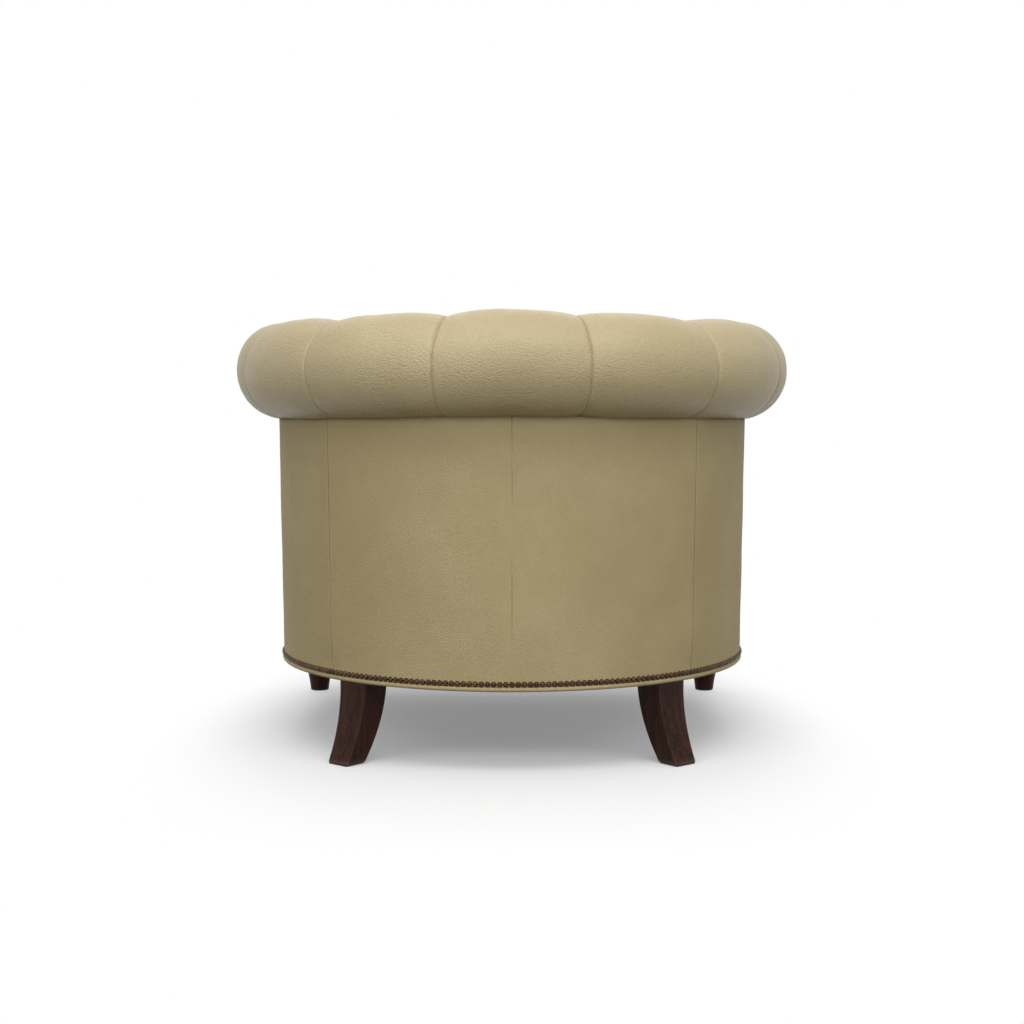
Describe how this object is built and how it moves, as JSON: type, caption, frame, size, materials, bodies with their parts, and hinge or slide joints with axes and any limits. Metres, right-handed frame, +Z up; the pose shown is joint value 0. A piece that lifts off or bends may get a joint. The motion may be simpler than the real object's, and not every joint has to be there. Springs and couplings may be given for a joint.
{
  "type": "leather tub armchair",
  "caption": "Low barrel-backed armchair with a pleated rolled top, button-tufted inside, loose seat cushion, sabre back legs and turned front legs.",
  "frame": {"origin": "on the floor, under the middle of the chair's box", "axes": "+Z up; the sitter faces -Y, the round back is towards +Y; +X is the sitter's left"},
  "size_m": [1.0078, 0.897, 0.734],
  "materials": {
    "leather": "khaki top-grain leather with a fine pebble and a soft satin sheen",
    "leg_wood": "solid hardwood stained very dark brown, satin lacquer",
    "frame_wood": "plain laminated birch and kiln-dried hardwood, unfinished",
    "webbing": "woven elastic webbing, dark grey",
    "platform_cloth": "plain woven decking cloth over foam",
    "dust_cloth": "black non-woven dust cloth",
    "bolt_steel": "zinc-plated steel",
    "glide_plastic": "matte black nylon",
    "nail_bronze": "antique bronze nail heads, darkened in the gaps"
  },
  "bodies": {
    "chair": {"seat_rail": "frame_wood", "front_rail": "frame_wood", "back_block_left": "frame_wood", "back_block_right": "frame_wood", "front_block_left": "frame_wood", "front_block_right": "frame_wood", "arm_post_left": "frame_wood", "arm_post_right": "frame_wood", "side_upright_left": "frame_wood", "side_upright_right": "frame_wood", "quarter_upright_left": "frame_wood", "quarter_upright_right": "frame_wood", "back_upright_left": "frame_wood", "back_upright_right": "frame_wood", "top_rail": "frame_wood", "webbing_lengthwise": "webbing", "webbing_crosswise": "webbing", "seat_platform": "platform_cloth", "front_border": "leather", "inside_padding": "leather", "tufting_buttons": "leather", "roll_padding": "leather", "outside_back_left": "leather", "outside_back_right": "leather", "outside_arm_left": "leather", "outside_arm_right": "leather", "base_bead": "leather", "arm_facing_left": "leather", "arm_facing_right": "leather", "dust_cover": "dust_cloth", "back_leg_left": "leg_wood", "back_leg_right": "leg_wood", "front_leg_left": "leg_wood", "front_leg_right": "leg_wood", "leg_bolts": "bolt_steel", "glides": "glide_plastic"},
    "cushion": {"seat_cushion": "leather"}
  },
  "joints": [
    {"name": "cushion_lift", "type": "slide", "parent": "chair", "child": "cushion", "axis": [0, 0, 1], "range_m": [0, 0.42]}
  ]
}
